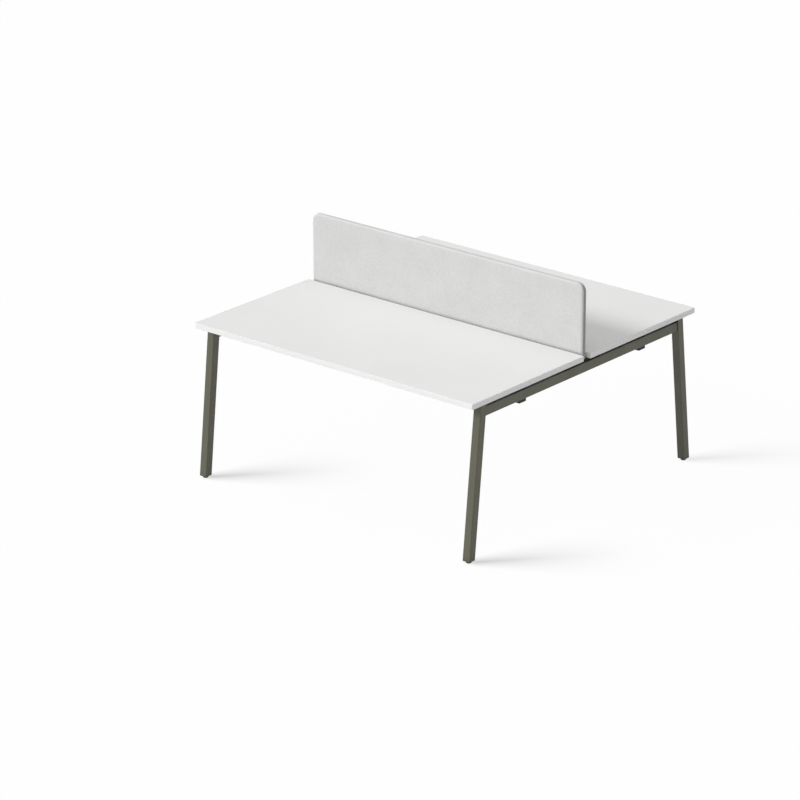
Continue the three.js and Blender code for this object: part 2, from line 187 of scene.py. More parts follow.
def block(name, low, high):
    """A block between two corners, to be shaped further."""
    bpy.ops.object.select_all(action="DESELECT")
    bpy.ops.mesh.primitive_cube_add(size=1, location=(low + high) / 2, scale=high - low)
    piece = bpy.context.object
    piece.name = name
    return settle(piece)


def rod(name, centre, radius, low, high, sides=SCREW_SIDES):
    """An upright round bar between two heights, to be shaped further."""
    bpy.ops.object.select_all(action="DESELECT")
    bpy.ops.mesh.primitive_cylinder_add(
        vertices=sides, radius=radius, depth=high - low, location=(centre.x, centre.y, (low + high) / 2)
    )
    piece = bpy.context.object
    piece.name = name
    return settle(piece)


def open_up(piece):
    """Goes into edit mode on one piece, with nothing selected."""
    alone(piece)
    bpy.ops.object.mode_set(mode="EDIT")
    bpy.ops.mesh.select_all(action="DESELECT")


def close_up():
    bpy.ops.object.mode_set(mode="OBJECT")


def pick(piece, kind, wanted):
    """Selects the points, edges or faces whose middle and direction suit wanted, and nothing else."""
    bpy.ops.mesh.select_mode(type=kind)
    bpy.ops.mesh.select_all(action="DESELECT")
    mesh = bmesh.from_edit_mesh(piece.data)
    if kind == "VERT":
        for point in mesh.verts:
            point.select_set(wanted(point.co, point.normal))
    elif kind == "EDGE":
        for edge in mesh.edges:
            start, end = (point.co for point in edge.verts)
            edge.select_set(wanted((start + end) / 2, (end - start).normalized()))
    else:
        mesh.normal_update()
        for face in mesh.faces:
            face.select_set(wanted(face.calc_center_median(), face.normal))
    mesh.select_flush_mode()
    bmesh.update_edit_mesh(piece.data)


def round_edges(piece, radius, steps, wanted):
    pick(piece, "EDGE", wanted)
    bpy.ops.mesh.bevel(
        offset=radius, offset_type="OFFSET", segments=steps, affect="EDGES", clamp_overlap=True
    )


def shift_points(piece, shift, wanted):
    pick(piece, "VERT", wanted)
    bpy.ops.transform.translate(value=shift)


def extrude(shift):
    """Draws the selected faces out, with new sides behind them."""
    bpy.ops.mesh.extrude_region_move(TRANSFORM_OT_translate={"value": shift})


def push_face(piece, shift, wanted):
    pick(piece, "FACE", wanted)
    extrude(shift)


def taper(share, centre):
    """Makes what is selected narrower or wider round an upright line."""
    bpy.ops.transform.resize(value=(share, share, 1), center_override=centre)


def face_outwards():
    bpy.ops.mesh.select_all(action="SELECT")
    bpy.ops.mesh.normals_make_consistent(inside=False)


def modified(piece, kind, **settings):
    """Adds one modifier and applies it."""
    alone(piece)
    modifier = piece.modifiers.new(kind.lower(), kind)
    for setting, value in settings.items():
        setattr(modifier, setting, value)
    bpy.ops.object.modifier_apply(modifier=modifier.name)


def combined(piece, other, operation):
    """Joins another shape to a piece, or cuts it out, and uses the other shape up."""
    modified(piece, "BOOLEAN", object=other, operation=operation, solver="EXACT")
    bpy.data.objects.remove(other)


def soft_arrises(piece, width):
    """Takes the sharpness off every edge."""
    modified(
        piece, "BEVEL", width=width, segments=ARRIS_STEPS, limit_method="ANGLE", angle_limit=SMOOTH_ANGLE
    )


def smoothed(piece):
    """Smooth shading on round faces, with flat faces kept flat."""
    alone(piece)
    bpy.ops.object.shade_smooth_by_angle(angle=SMOOTH_ANGLE)
    modified(piece, "WEIGHTED_NORMAL", keep_sharp=True)
    return piece


def twin(piece, name, shift=(0, 0, 0), half_turn=False):
    """A copy with a mesh of its own, moved along and then perhaps turned half round the desk's middle."""
    alone(piece)
    bpy.ops.object.duplicate(linked=False)
    copy = bpy.context.object
    copy.name = name
    copy.location = shift
    settle(copy)
    copy.rotation_euler.z = math.pi if half_turn else 0
    return settle(copy)


def level_box(node_name, height):
    """The lowest and highest corner of a CAD node's section at one height."""
    places = [point.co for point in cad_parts[node_name].data.vertices]
    points = [place for place in places if abs(place.z - height) < NEAR]
    low = Vector(min(point[axis] for point in points) for axis in range(3))
    high = Vector(max(point[axis] for point in points) for axis in range(3))
    return low, high


def runs(way, axis):
    return abs(way.dot(axis)) > ROUGHLY


def faces(way, axis):
    return way.dot(axis) > ROUGHLY


def is_flat(way, axis):
    return abs(way.dot(axis)) > SQUARELY


# Shader nodes, in words

def node(tree, kind, inputs=None, **settings):
    """One shader node, its settings, and its inputs given as values or as sockets to link."""
    made = tree.nodes.new("ShaderNode" + kind)
    for setting, value in settings.items():
        setattr(made, setting, value)
    for key, value in (inputs or {}).items():
        if isinstance(value, bpy.types.NodeSocket):
            tree.links.new(value, made.inputs[key])
        else:
            made.inputs[key].default_value = value
    return made


def maths(tree, operation, first, second=0.0, third=0.0, clamp=False):
    inputs = {0: first, 1: second, 2: third}
    return node(tree, "Math", inputs, operation=operation, use_clamp=clamp).outputs[0]


def spread(tree, value, source, target):
    """A value moved from one range into another, and held there."""
    inputs = {0: value, 1: source[0], 2: source[1], 3: target[0], 4: target[1]}
    return node(tree, "MapRange", inputs).outputs[0]


def mixed(tree, share, first, second, blend="MIX"):
    """Two colours mixed by a share."""
    inputs = {0: share, 6: first, 7: second}
    return node(tree, "Mix", inputs, data_type="RGBA", blend_type=blend).outputs[2]


def toned(tree, colour, tone):
    """A colour made lighter or darker by a tone."""
    return mixed(tree, 1.0, colour, tone, "MULTIPLY")


def effect(name, inputs, outputs):
    """An empty effect with named values going in and coming out."""
    tree = bpy.data.node_groups.new(name, "ShaderNodeTree")
    for label, value in inputs.items():
        socket = tree.interface.new_socket(label, in_out="INPUT", socket_type="NodeSocketFloat")
        socket.default_value = value
    for label in outputs:
        tree.interface.new_socket(label, in_out="OUTPUT", socket_type="NodeSocketFloat")
    return tree, tree.nodes.new("NodeGroupInput").outputs, tree.nodes.new("NodeGroupOutput").inputs


def use(tree, group, **values):
    """Places an effect in a material with its own values, and gives its outputs."""
    made = tree.nodes.new("ShaderNodeGroup")
    made.node_tree = group
    for label, value in values.items():
        made.inputs[label.replace("_", " ")].default_value = value
    return made.outputs


def surface_place(tree):
    return node(tree, "TexCoord").outputs["Object"]


def noise(tree, scale, detail):
    """A cloudy value over the surface."""
    inputs = {"Vector": surface_place(tree), "Scale": scale, "Detail": detail}
    return node(tree, "TexNoise", inputs).outputs[0]


# Effects: the spans of noise, edge turn and upward slope that they read, their scales and their samples
NOISE_SPAN = (0.3, 0.7)
RUBBED_SPAN = (0.45, 0.62)
DUSTY_SPAN = (0.35, 0.75)
EDGE_TURN = (0.995, 0.85)
DUST_SLOPE = (0.5, 1)
GLOSS_SCALE = 14
RUB_SCALE = 60
EDGE_SAMPLES = 4
PAINTED_SHADE_SAMPLES = 6


def tone_drift_effect():
    """A slow cloudy change of tone over a whole piece."""
    tree, given, result = effect("tone_drift", {"Scale": 2, "Low": 0.95, "High": 1.05}, ["Tone"])
    cloud = noise(tree, given["Scale"], detail=2)
    tone = spread(tree, cloud, NOISE_SPAN, (given["Low"], given["High"]))
    tree.links.new(tone, result["Tone"])
    return tree


def fine_grain_effect():
    """The small bumps of a sprayed, moulded or pressed surface, and the gloss that goes with them."""
    inputs = {"Scale": 900, "Gloss Low": 0.4, "Gloss High": 0.5}
    tree, given, result = effect("fine_grain", inputs, ["Height", "Roughness"])
    grain = noise(tree, given["Scale"], detail=3)
    patches = noise(tree, GLOSS_SCALE, detail=3)
    gloss = spread(tree, patches, NOISE_SPAN, (given["Gloss Low"], given["Gloss High"]))
    tree.links.new(grain, result["Height"])
    tree.links.new(gloss, result["Roughness"])
    return tree


def worn_edges_effect():
    """A broken line of wear along the outer edges."""
    tree, given, result = effect("worn_edges", {"Radius": 1 * MM, "Amount": 0.5}, ["Mask"])
    rounded = node(tree, "Bevel", {"Radius": given["Radius"]}, samples=EDGE_SAMPLES).outputs[0]
    plain = node(tree, "NewGeometry").outputs["Normal"]
    agree = node(tree, "VectorMath", {0: rounded, 1: plain}, operation="DOT_PRODUCT").outputs["Value"]
    turned = spread(tree, agree, EDGE_TURN, (0, 1))
    broken = spread(tree, noise(tree, RUB_SCALE, detail=4), RUBBED_SPAN, (0, 1))
    worn = maths(tree, "MULTIPLY", turned, broken)
    tree.links.new(maths(tree, "MULTIPLY", worn, given["Amount"]), result["Mask"])
    return tree


def settled_dust_effect():
    """A thin film of dust on whatever faces up."""
    tree, given, result = effect("settled_dust", {"Amount": 0.1, "Scale": 9}, ["Mask"])
    facing = node(tree, "SeparateXYZ", {0: node(tree, "NewGeometry").outputs["Normal"]}).outputs["Z"]
    upwards = spread(tree, facing, DUST_SLOPE, (0, 1))
    cloud = spread(tree, noise(tree, given["Scale"], detail=5), DUSTY_SPAN, (0, 1))
    lying = maths(tree, "MULTIPLY", upwards, cloud)
    tree.links.new(maths(tree, "MULTIPLY", lying, given["Amount"]), result["Mask"])
    return tree


def painted_corner_shade_effect():
    """Painted shade: a dark line where two surfaces meet, found by ambient occlusion, darkening the colour
    where shade falls.
    """
    inputs = {"Reach": 8 * MM, "Open": 0.75, "Shut": 0.35, "Amount": 0.7}
    tree, given, result = effect("painted_corner_shade", inputs, ["Mask"])
    around = node(tree, "AmbientOcclusion", {"Distance": given["Reach"]}, samples=PAINTED_SHADE_SAMPLES)
    shade_in_corner = spread(tree, around.outputs["AO"], (given["Open"], given["Shut"]), (0, 1))
    tree.links.new(maths(tree, "MULTIPLY", shade_in_corner, given["Amount"]), result["Mask"])
    return tree


def flecks_effect():
    """Small scattered specks, each in its own cell."""
    tree, given, result = effect("flecks", {"Scale": 400, "Size": 0.3, "Share": 0.3}, ["Mask", "Tone"])
    cells = node(tree, "TexVoronoi", {"Vector": surface_place(tree), "Scale": given["Scale"]})
    chance = node(tree, "SeparateColor", {0: cells.outputs["Color"]})
    close = maths(tree, "LESS_THAN", cells.outputs["Distance"], given["Size"])
    chosen = maths(tree, "LESS_THAN", chance.outputs[0], given["Share"])
    tree.links.new(maths(tree, "MULTIPLY", close, chosen), result["Mask"])
    tree.links.new(chance.outputs[1], result["Tone"])
    return tree


def drawn_lines_effect():
    """Fine lines along X, as drawing leaves on metal."""
    tree, given, result = effect("drawn_lines", {"Scale": 700, "Stretch": 0.02}, ["Line"])
    stretch = node(tree, "CombineXYZ", {0: given["Stretch"], 1: 1, 2: 1}).outputs[0]
    place = node(tree, "VectorMath", {0: surface_place(tree), 1: stretch}, operation="MULTIPLY").outputs[0]
    lines = node(tree, "TexNoise", {"Vector": place, "Scale": given["Scale"], "Detail": 2})
    tree.links.new(lines.outputs[0], result["Line"])
    return tree


TONE_DRIFT = tone_drift_effect()
FINE_GRAIN = fine_grain_effect()
WORN_EDGES = worn_edges_effect()
SETTLED_DUST = settled_dust_effect()
PAINTED_CORNER_SHADE = painted_corner_shade_effect()
FLECKS = flecks_effect()
DRAWN_LINES = drawn_lines_effect()


def grey(value):
    return (value, value, value, 1)


# Colours: a pair goes from the darker to the lighter
DUST_COLOUR = (0.62, 0.61, 0.58, 1)
LAMINATE_COLOUR = (0.775, 0.775, 0.77, 1)
LAMINATE_SPECKS = ((0.71, 0.71, 0.705, 1), (0.82, 0.82, 0.815, 1))
EDGING_COLOUR = (0.875, 0.875, 0.87, 1)
EDGING_RUBBED = grey(0.94)
FRAME_COLOUR = (0.086, 0.085, 0.053, 1)
FRAME_SPECK = (0.13, 0.128, 0.09, 1)
FRAME_SPECK_SHARE = 0.25
FRAME_WORN = (0.15, 0.148, 0.11, 1)
# Painted shade: the near black that the frame's coat turns to in corners and gaps
FRAME_PAINTED_SHADE = (0.012, 0.012, 0.01, 1)
BLACK_COAT = grey(0.009)
BLACK_COAT_WORN = (0.05, 0.05, 0.049, 1)
BLACK_MOULDED = grey(0.012)
BLACK_MOULDED_WORN = (0.04, 0.04, 0.039, 1)
ZINC_SPANGLES = ((0.40, 0.41, 0.41, 1), (0.50, 0.50, 0.49, 1))
ALUMINIUM_LINES = ((0.44, 0.445, 0.45, 1), (0.60, 0.60, 0.60, 1))
ALUMINIUM_GLOSS = (0.3, 0.48)
PRESSED_WOOD = (0.46, 0.33, 0.20, 1)
PRESSED_WOOD_CHIPS = ((0.34, 0.22, 0.12, 1), (0.56, 0.42, 0.26, 1))

# The screen's cloth and edge tape: their colours, and the tones that they are multiplied by, some of them
# painted shade
CLOTH_COLOUR = (0.70, 0.70, 0.695, 1)
# Painted shade: the dark grey that the cloth turns to in corners
CLOTH_PAINTED_SHADE = grey(0.2)
SLUBS = (grey(0.54), grey(0.80))
SLUB_SHARE = 0.5
FIBRE_SCALE = 230
FIBRE_TONES = (0.92, 1.07)
WEAVE_PITCH = 2.2 * MM
# Painted shade: the weave's tones, darker between the threads and lighter on top of them
WEAVE_PAINTED_SHADE = (0.9, 1.05)
WEAVE_DEPTH = 0.3 * MM
WEAVE_STRENGTH = 0.7
TAPE_TOP_TONE = 0.86
# Painted shade: the tape's tone where it faces the ends, darker than where it faces up
TAPE_END_PAINTED_SHADE = 0.55
TAPE_TURN = (0.4, 0.9)


# Finishes, one for each material slot

def new_finish(name, **constants):
    """A material, its tree and its shader, with what is the same all over set on the shader itself."""
    material = bpy.data.materials.new(name)
    material.use_nodes = True
    tree = material.node_tree
    shader = tree.nodes["Principled BSDF"]
    for label, value in constants.items():
        shader.inputs[label.replace("_", " ")].default_value = value
    return material, tree, shader.inputs


def raise_surface(tree, shader, height, distance, strength=1.0):
    bump = node(tree, "Bump", {"Height": height, "Distance": distance, "Strength": strength})
    tree.links.new(bump.outputs[0], shader["Normal"])


def lay_on(tree, shader, colour, grain, depth):
    """Links a colour, and the gloss and the small bumps of a grain, to the shader."""
    tree.links.new(colour, shader["Base Color"])
    tree.links.new(grain["Roughness"], shader["Roughness"])
    raise_surface(tree, shader, grain["Height"], depth)


def worktop_laminate():
    """Pale melamine facing with a barely seen speckle."""
    material, tree, shader = new_finish("worktop_laminate", Specular_IOR_Level=0.1)
    drift = use(tree, TONE_DRIFT, Scale=2.5, Low=0.985, High=1.01)
    specks = use(tree, FLECKS, Scale=420, Size=0.42, Share=0.5)
    grain = use(tree, FINE_GRAIN, Scale=1600, Gloss_Low=0.68, Gloss_High=0.78)
    dust = use(tree, SETTLED_DUST, Amount=0.03, Scale=5)
    speck = mixed(tree, specks["Tone"], *LAMINATE_SPECKS)
    colour = toned(tree, mixed(tree, specks["Mask"], LAMINATE_COLOUR, speck), drift["Tone"])
    colour = mixed(tree, dust["Mask"], colour, DUST_COLOUR)
    lay_on(tree, shader, colour, grain, depth=0.02 * MM)
    return material


def worktop_edging():
    """Plain edging strip in the worktop's colour, a little glossier, with a rubbed outer edge."""
    material, tree, shader = new_finish("worktop_edging", Specular_IOR_Level=0.35)
    drift = use(tree, TONE_DRIFT, Scale=6, Low=0.985, High=1.01)
    grain = use(tree, FINE_GRAIN, Scale=1100, Gloss_Low=0.42, Gloss_High=0.5)
    wear = use(tree, WORN_EDGES, Radius=1.2 * MM, Amount=0.3)
    colour = toned(tree, EDGING_COLOUR, drift["Tone"])
    colour = mixed(tree, wear["Mask"], colour, EDGING_RUBBED)
    lay_on(tree, shader, colour, grain, depth=0.02 * MM)
    return material


def frame_paint():
    """Olive grey powder coat with a fine orange peel."""
    material, tree, shader = new_finish("frame_paint", Specular_IOR_Level=0.65)
    drift = use(tree, TONE_DRIFT, Scale=5, Low=0.95, High=1.05)
    specks = use(tree, FLECKS, Scale=700, Size=0.45, Share=0.4)
    grain = use(tree, FINE_GRAIN, Scale=1500, Gloss_Low=0.44, Gloss_High=0.54)
    wear = use(tree, WORN_EDGES, Radius=1.5 * MM, Amount=0.35)
    painted_shade = use(tree, PAINTED_CORNER_SHADE, Reach=40 * MM, Open=0.85, Shut=0.55, Amount=0.95)
    dust = use(tree, SETTLED_DUST, Amount=0.04, Scale=12)
    colour = toned(tree, FRAME_COLOUR, drift["Tone"])
    colour = mixed(tree, maths(tree, "MULTIPLY", specks["Mask"], FRAME_SPECK_SHARE), colour, FRAME_SPECK)
    colour = mixed(tree, wear["Mask"], colour, FRAME_WORN)
    colour = mixed(tree, dust["Mask"], colour, DUST_COLOUR)
    # Painted shade: the coat darkened in corners and gaps, such as under the worktops and where the rails
    # meet the legs
    colour = mixed(tree, painted_shade["Mask"], colour, FRAME_PAINTED_SHADE)
    lay_on(tree, shader, colour, grain, depth=0.06 * MM)
    return material


def black_metal():
    """Black powder coat on the beams, brackets, plates and stems."""
    material, tree, shader = new_finish("black_metal", Specular_IOR_Level=0.35)
    drift = use(tree, TONE_DRIFT, Scale=8, Low=0.85, High=1.15)
    grain = use(tree, FINE_GRAIN, Scale=1300, Gloss_Low=0.45, Gloss_High=0.58)
    wear = use(tree, WORN_EDGES, Radius=1.2 * MM, Amount=0.4)
    dust = use(tree, SETTLED_DUST, Amount=0.05, Scale=15)
    colour = toned(tree, BLACK_COAT, drift["Tone"])
    colour = mixed(tree, wear["Mask"], colour, BLACK_COAT_WORN)
    colour = mixed(tree, dust["Mask"], colour, DUST_COLOUR)
    lay_on(tree, shader, colour, grain, depth=0.06 * MM)
    return material


def black_plastic():
    """Moulded black plastic with a spark-eroded grain, scuffed at its edges."""
    material, tree, shader = new_finish("black_plastic", Specular_IOR_Level=0.2)
    drift = use(tree, TONE_DRIFT, Scale=30, Low=0.85, High=1.15)
    grain = use(tree, FINE_GRAIN, Scale=2200, Gloss_Low=0.55, Gloss_High=0.7)
    wear = use(tree, WORN_EDGES, Radius=0.8 * MM, Amount=0.4)
    colour = toned(tree, BLACK_MOULDED, drift["Tone"])
    colour = mixed(tree, wear["Mask"], colour, BLACK_MOULDED_WORN)
    lay_on(tree, shader, colour, grain, depth=0.05 * MM)
    return material


def zinc_steel():
    """Zinc plate with a faint spangle."""
    material, tree, shader = new_finish("zinc_steel", Metallic=1.0)
    drift = use(tree, TONE_DRIFT, Scale=120, Low=0.85, High=1.1)
    spangle = use(tree, FLECKS, Scale=900, Size=0.6, Share=0.5)
    grain = use(tree, FINE_GRAIN, Scale=2500, Gloss_Low=0.28, Gloss_High=0.42)
    colour = toned(tree, mixed(tree, spangle["Mask"], *ZINC_SPANGLES), drift["Tone"])
    lay_on(tree, shader, colour, grain, depth=0.02 * MM)
    return material


def screen_aluminium():
    """Drawn aluminium bar with lines along its length."""
    material, tree, shader = new_finish("screen_aluminium", Metallic=1.0)
    line = use(tree, DRAWN_LINES, Scale=900, Stretch=0.01)["Line"]
    tree.links.new(mixed(tree, line, *ALUMINIUM_LINES), shader["Base Color"])
    tree.links.new(spread(tree, line, NOISE_SPAN, ALUMINIUM_GLOSS), shader["Roughness"])
    raise_surface(tree, shader, line, 0.02 * MM)
    return material


def screen_board():
    """Pressed wood board, cut edges and faces alike."""
    material, tree, shader = new_finish("screen_board", Specular_IOR_Level=0.2)
    chips = use(tree, FLECKS, Scale=260, Size=0.6, Share=0.6)
    drift = use(tree, TONE_DRIFT, Scale=40, Low=0.85, High=1.1)
    grain = use(tree, FINE_GRAIN, Scale=700, Gloss_Low=0.75, Gloss_High=0.9)
    chip = mixed(tree, chips["Tone"], *PRESSED_WOOD_CHIPS)
    colour = toned(tree, mixed(tree, chips["Mask"], PRESSED_WOOD, chip), drift["Tone"])
    lay_on(tree, shader, colour, grain, depth=0.15 * MM)
    return material


def tape_tone_with_painted_shade(tree, off_middle):
    """The darker tone of the tape round the screen's rim, with painted shade making it darker still where it
    turns down to face the ends.
    """
    on_tape = (EDGE_TAPE / 2, EDGE_TAPE / 2 - EDGE_TAPE_SEAM)
    facing = node(tree, "SeparateXYZ", {0: node(tree, "NewGeometry").outputs["Normal"]}).outputs["X"]
    towards_end = maths(tree, "ABSOLUTE", facing)
    tape = spread(tree, towards_end, TAPE_TURN, (TAPE_TOP_TONE, TAPE_END_PAINTED_SHADE))
    return spread(tree, off_middle, on_tape, (1, tape))


def plain_weave(tree, place):
    """Threads over and under each other, from 0 between them to 1 on top of them."""
    turns = 2 * math.pi / WEAVE_PITCH

    def ripple(axis):
        along = maths(tree, "ADD", place[axis], place["Y"])
        return maths(tree, "SINE", maths(tree, "MULTIPLY", along, turns))

    return spread(tree, maths(tree, "MULTIPLY", ripple("X"), ripple("Z")), (-1, 1), (0, 1))


def screen_fabric():
    """Pale grey cloth: a plain weave of lighter and darker fibres, and the tape round its rim."""
    material, tree, shader = new_finish(
        "screen_fabric", Roughness=0.95, Specular_IOR_Level=0.12, Sheen_Weight=0.1, Sheen_Roughness=0.5
    )
    place = node(tree, "SeparateXYZ", {0: surface_place(tree)}).outputs
    weave = plain_weave(tree, place)
    drift = use(tree, TONE_DRIFT, Scale=9, Low=0.975, High=1.02)
    slubs = use(tree, FLECKS, Scale=500, Size=0.4, Share=0.35)
    painted_shade = use(tree, PAINTED_CORNER_SHADE, Reach=20 * MM, Amount=0.8)
    fibres = spread(tree, noise(tree, FIBRE_SCALE, detail=4), NOISE_SPAN, FIBRE_TONES)
    tone = maths(tree, "MULTIPLY", fibres, drift["Tone"])
    # Painted shade: the cloth darker between the threads and lighter on top of them, following the weave's
    # height
    tone = maths(tree, "MULTIPLY", tone, spread(tree, weave, (0, 1), WEAVE_PAINTED_SHADE))
    # The tape's own darker tone, with painted shade where it faces the ends
    tone = maths(tree, "MULTIPLY", tone, tape_tone_with_painted_shade(tree, maths(tree, "ABSOLUTE", place["Y"])))
    slub = mixed(tree, slubs["Tone"], *SLUBS)
    colour = mixed(tree, maths(tree, "MULTIPLY", slubs["Mask"], SLUB_SHARE), CLOTH_COLOUR, slub)
    # Painted shade: the cloth darkened in corners, such as at its foot in the worktops' slot
    colour = mixed(tree, painted_shade["Mask"], toned(tree, colour, tone), CLOTH_PAINTED_SHADE)
    tree.links.new(colour, shader["Base Color"])
    raise_surface(tree, shader, weave, WEAVE_DEPTH, WEAVE_STRENGTH)
    return material


FINISHES = {
    "worktop_laminate": worktop_laminate(),
    "worktop_edging": worktop_edging(),
    "frame_paint": frame_paint(),
    "black_metal": black_metal(),
    "black_plastic": black_plastic(),
    "zinc_steel": zinc_steel(),
    "screen_aluminium": screen_aluminium(),
    "screen_board": screen_board(),
    "screen_fabric": screen_fabric(),
}


def fit(piece, node_name, finish, body="frame"):
    """Gives a finished piece its material, hides the CAD node that it stands for, and hangs it on the body
    that it rides on.
    """
    piece.data.materials.clear()
    piece.data.materials.append(FINISHES[finish])
    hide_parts(node_name)
    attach(piece, body)


def dress(node_name, finish):
    """Gives a CAD node that stays in view its material."""
    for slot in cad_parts[node_name].material_slots:
        slot.material = FINISHES[finish]


# Worktops

def worktop_board():
    low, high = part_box("back_worktop")
    piece = block("worktop_board_model", low, high)
    open_up(piece)
    round_edges(piece, BOARD_CORNER, CORNER_STEPS, lambda middle, way: runs(way, UP))
    close_up()
    soft_arrises(piece, BOARD_ARRIS)
    return smoothed(piece)


def worktop_edging_strip():
    """A closed strip round the board: the block is rounded outside, then opened through."""
    low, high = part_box("back_worktop_edging")
    piece = block("worktop_strip_model", low, high)
    open_up(piece)
    round_edges(piece, EDGING_CORNER, CORNER_STEPS, lambda middle, way: runs(way, UP))
    round_edges(piece, EDGING_ARRIS, ARRIS_STEPS, lambda middle, way: not runs(way, UP))
    pick(piece, "FACE", lambda middle, way: runs(way, UP))
    bpy.ops.mesh.inset(thickness=EDGING_THICKNESS - EDGING_ARRIS)
    bpy.ops.mesh.delete(type="FACE")
    bpy.ops.mesh.select_mode(type="EDGE")
    bpy.ops.mesh.select_non_manifold(extend=False)
    bpy.ops.mesh.bridge_edge_loops()
    face_outwards()
    close_up()
    return smoothed(piece)


# Screen

def screen_panel():
    """The padded cover: round top corners, a taped round rim, soft shoulders, and a pocket open below."""
    low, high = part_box("screen_cover")
    crown = sum(rise for _, rise in SHOULDER_STEPS)
    piece = block("screen_panel", low + ACROSS * crown, high - ACROSS * crown)
    open_up(piece)
    round_edges(
        piece,
        SCREEN_CORNER,
        SCREEN_CORNER_STEPS,
        lambda middle, way: runs(way, ACROSS) and middle.z > high.z - NEAR,
    )
    round_edges(
        piece,
        SCREEN_RIM,
        RIM_STEPS,
        lambda middle, way: not runs(way, ACROSS) and middle.z > low.z + NEAR,
    )
    pick(piece, "FACE", lambda middle, way: is_flat(way, ACROSS))
    for inset, rise in SHOULDER_STEPS:
        bpy.ops.mesh.inset(thickness=inset, depth=rise)
    pick(piece, "FACE", lambda middle, way: abs(middle.y) < EDGE_TAPE / 2 and not faces(way, -UP))
    bpy.ops.mesh.inset(thickness=EDGE_TAPE_SEAM, depth=-EDGE_TAPE_SUNK)
    pick(piece, "FACE", lambda middle, way: faces(way, -UP))
    bpy.ops.mesh.inset(thickness=SCREEN_WALL)
    screen_pocket(low, high)
    face_outwards()
    close_up()
    return smoothed(piece)


def screen_pocket(low, high):
    """Pushes the selected face up to the padding's underside, drawing it in round the top corners."""
    radius = SCREEN_CORNER - SCREEN_TOP_PADDING
    corner_x = high.x - SCREEN_CORNER
    corner_z = high.z - SCREEN_CORNER
    half_width = high.x - SCREEN_WALL
    height = low.z
    for step in range(POCKET_STEPS):
        angle = step / POCKET_STEPS * math.pi / 2
        new_half_width = corner_x + radius * math.cos(angle)
        new_height = corner_z + radius * math.sin(angle)
        narrower = new_half_width / half_width
        extrude((0, 0, new_height - height))
        bpy.ops.transform.resize(value=(narrower, 1, 1), center_override=(0, 0, new_height))
        half_width = new_half_width
        height = new_height


# Tubes

def tube_from(piece, axis, corner, wall):
    """Turns a long block into a tube: rounded edges, open ends, and a wall inwards."""
    open_up(piece)
    round_edges(piece, corner, CORNER_STEPS, lambda middle, way: runs(way, axis))
    pick(piece, "FACE", lambda middle, way: runs(way, axis))
    bpy.ops.mesh.delete(type="FACE")
    close_up()
    modified(piece, "SOLIDIFY", thickness=wall, offset=-1, use_even_offset=True)
    soft_arrises(piece, TUBE_ARRIS)
    return smoothed(piece)


def leg_tube():
    """A leg on the back right: upright at first, then its top is moved in."""
    low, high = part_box("back_right_leg")
    foot_low, foot_high = level_box("back_right_leg", low.z)
    top_low, _ = level_box("back_right_leg", high.z)
    piece = block("leg_model", foot_low, Vector((foot_high.x, foot_high.y, high.z)))
    open_up(piece)
    shift_points(piece, (0, top_low.y - foot_low.y, 0), lambda place, way: place.z > high.z - NEAR)
    return tube_from(piece, UP, LEG_CORNER, LEG_WALL)


def rail_tube():
    """The right end rail, its ends sloped to suit the legs."""
    low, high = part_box("right_end_rail")
    _, top_high = level_box("right_end_rail", high.z)
    slope = high.y - top_high.y
    piece = block("rail_model", low, high)
    open_up(piece)
    for sign in SIDES.values():
        shift_points(
            piece,
            (0, -sign * slope, 0),
            lambda place, way: place.z > high.z - NEAR and place.y * sign > 0,
        )
    return tube_from(piece, ACROSS, RAIL_CORNER, RAIL_WALL)


def beam_tube():
    low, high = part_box("back_beam")
    piece = block("beam_model", low, high)
    return tube_from(piece, ALONG, BEAM_CORNER, BEAM_WALL)


# Fittings

def middle_of(node_name):
    low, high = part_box(node_name)
    return (low + high) / 2


def beam_bracket():
    """A hook under the end rail: an upright, a jaw pushed out of its foot, and a spigot for the beam."""
    low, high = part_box("back_right_beam_bracket")
    rail_low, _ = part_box("right_end_rail")
    _, beam_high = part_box("back_beam")
    jaw_top = rail_low.z - SEAT_GAP
    upright_low = Vector((beam_high.x + FIT_GAP, low.y, low.z))
    upright_high = Vector((rail_low.x - FIT_GAP, high.y, high.z))
    piece = block("bracket_model", upright_low, upright_high)
    open_up(piece)
    bpy.ops.mesh.select_all(action="SELECT")
    bpy.ops.mesh.bisect(plane_co=(0, 0, jaw_top), plane_no=UP)
    push_face(
        piece,
        (high.x - upright_high.x, 0, 0),
        lambda middle, way: faces(way, ALONG) and middle.z < jaw_top,
    )
    close_up()
    soft_arrises(piece, BRACKET_ARRIS)
    combined(piece, bracket_spigot(low.x, upright_low.x + FIT_GAP), "UNION")
    drill_bracket(piece, low.z, rail_low.z)
    return smoothed(piece)


def bracket_spigot(start, end):
    """The bar that plugs into the beam, between two places along it."""
    beam_low, beam_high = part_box("back_beam")
    inset = Vector((0, BEAM_WALL + FIT_GAP, BEAM_WALL + FIT_GAP))
    low = Vector((start, beam_low.y, beam_low.z)) + inset
    high = Vector((end, beam_high.y, beam_high.z)) - inset
    spigot = block("spigot_model", low, high)
    soft_arrises(spigot, BEAM_CORNER - BEAM_WALL)
    return spigot


def drill_bracket(piece, bottom, top):
    """Cuts the recess for the bolt's head, and the hole for its shank."""
    low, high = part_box("back_right_bracket_bolt")
    place = middle_of("back_right_bracket_bolt")
    head_radius = (high.x - low.x) / 2 + FIT_GAP
    seat = low.z + BRACKET_BOLT["head"] + SEAT_GAP
    below = bottom - BRACKET_BOLT["head"]
    combined(piece, rod("recess", place, head_radius, below, seat), "DIFFERENCE")
    combined(piece, rod("hole", place, BRACKET_BOLT["shank"] + FIT_GAP, below, top), "DIFFERENCE")


